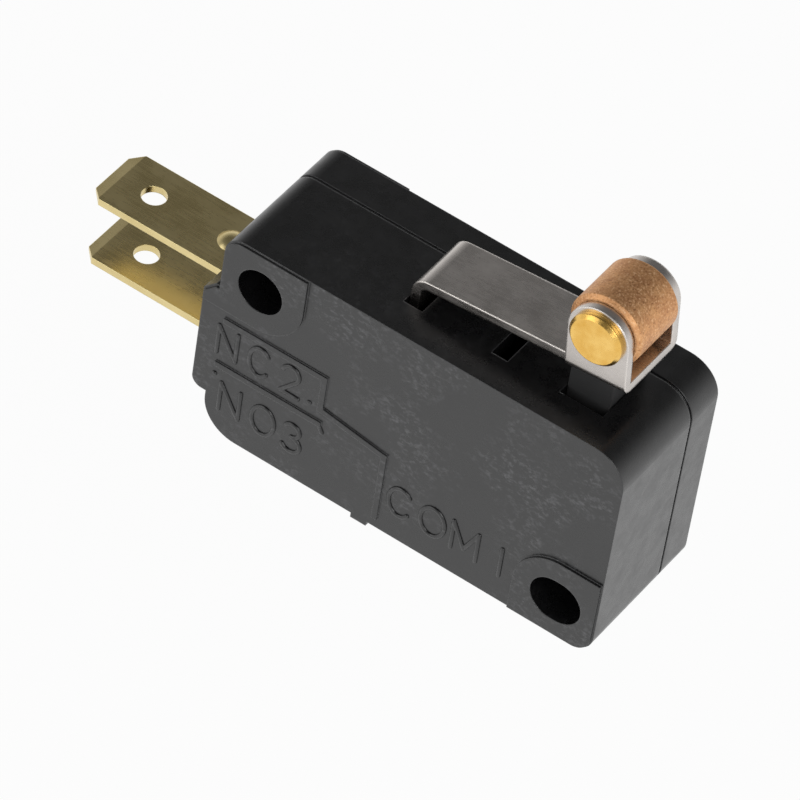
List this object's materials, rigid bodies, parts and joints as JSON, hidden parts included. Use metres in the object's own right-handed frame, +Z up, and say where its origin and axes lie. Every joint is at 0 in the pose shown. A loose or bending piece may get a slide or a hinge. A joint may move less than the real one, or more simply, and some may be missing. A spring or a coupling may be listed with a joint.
{
  "type": "lever snap switch",
  "caption": "Snap-action changeover switch in a flat two-part moulded body, worked by a plunger under a hinged sheet-metal lever with a metal roller; quick-connect tabs.",
  "frame": {"origin": "centre of the round mounting hole, half way through the body's thickness", "axes": "+X along the body towards the roller, +Y through the thickness from the case to the cover along the mounting holes, +Z up towards the lever"},
  "size_m": [0.039, 0.0104, 0.027],
  "materials": {
    "case_plastic": "moulded black thermoset, fine mottled skin",
    "cover_plastic": "moulded black thermoset",
    "plunger_plastic": "smooth black moulding",
    "lever_steel": "stainless sheet, sheared edges",
    "roller_bronze": "sintered copper-coloured bronze",
    "axle_brass": "turned brass, polished head",
    "tab_brass": "stamped brass sheet",
    "contact_silver": "silver contact rivet",
    "com_copper": "stamped copper alloy sheet",
    "bracket_brass": "stamped and lanced brass",
    "rivet_brass": "brass rivets",
    "arm_copper": "spring copper sheet",
    "strip_steel": "stainless strip",
    "spring_steel": "music wire"
  },
  "bodies": {
    "housing": {"case": "case_plastic", "cover": "cover_plastic", "nc_terminal": "tab_brass", "nc_contact": "contact_silver", "no_terminal": "tab_brass", "no_contact": "contact_silver", "com_terminal": "com_copper", "com_bracket": "bracket_brass", "bracket_rivets": "rivet_brass"},
    "lever": {"lever": "lever_steel", "roller_axle": "axle_brass"},
    "roller": {"roller": "roller_bronze"},
    "plunger": {"plunger": "plunger_plastic"},
    "actuator": {"actuating_strip": "strip_steel"},
    "contact_arm": {"contact_arm": "arm_copper", "moving_contact": "contact_silver", "snap_spring": "spring_steel"}
  },
  "joints": [
    {"name": "lever_press", "type": "hinge", "parent": "housing", "child": "lever", "pos_m": [0.0084, 0, 0.0008], "axis": [0, 1, 0], "range_deg": [0, 8], "stiffness_Nm_per_rad": 0.06, "springref_deg": -4.58},
    {"name": "roller_spin", "type": "hinge", "parent": "lever", "child": "roller", "pos_m": [0.02053, 0, 0.00844], "axis": [0, 1, 0], "continuous": true},
    {"name": "plunger_slide", "type": "slide", "parent": "housing", "child": "plunger", "axis": [0, 0, -1], "range_m": [0, 0.00167]},
    {"name": "strip_rock", "type": "hinge", "parent": "housing", "child": "actuator", "pos_m": [0.01205, 0, -0.0082], "axis": [0, 1, 0], "range_deg": [0, 11.6], "deforming": ["snap_spring"]},
    {"name": "arm_swing", "type": "hinge", "parent": "housing", "child": "contact_arm", "pos_m": [0.0163, 0, -0.00535], "axis": [0, -1, 0], "range_deg": [0, 5.05]}
  ],
  "couplings": [
    {"joint": "plunger_slide", "follows": "lever_press", "m_per_rad": 0.011901},
    {"joint": "strip_rock", "follows": "lever_press", "ratio": 1.4412},
    {"joint": "arm_swing", "follows": "lever_press", "ratio": 0.625}
  ]
}
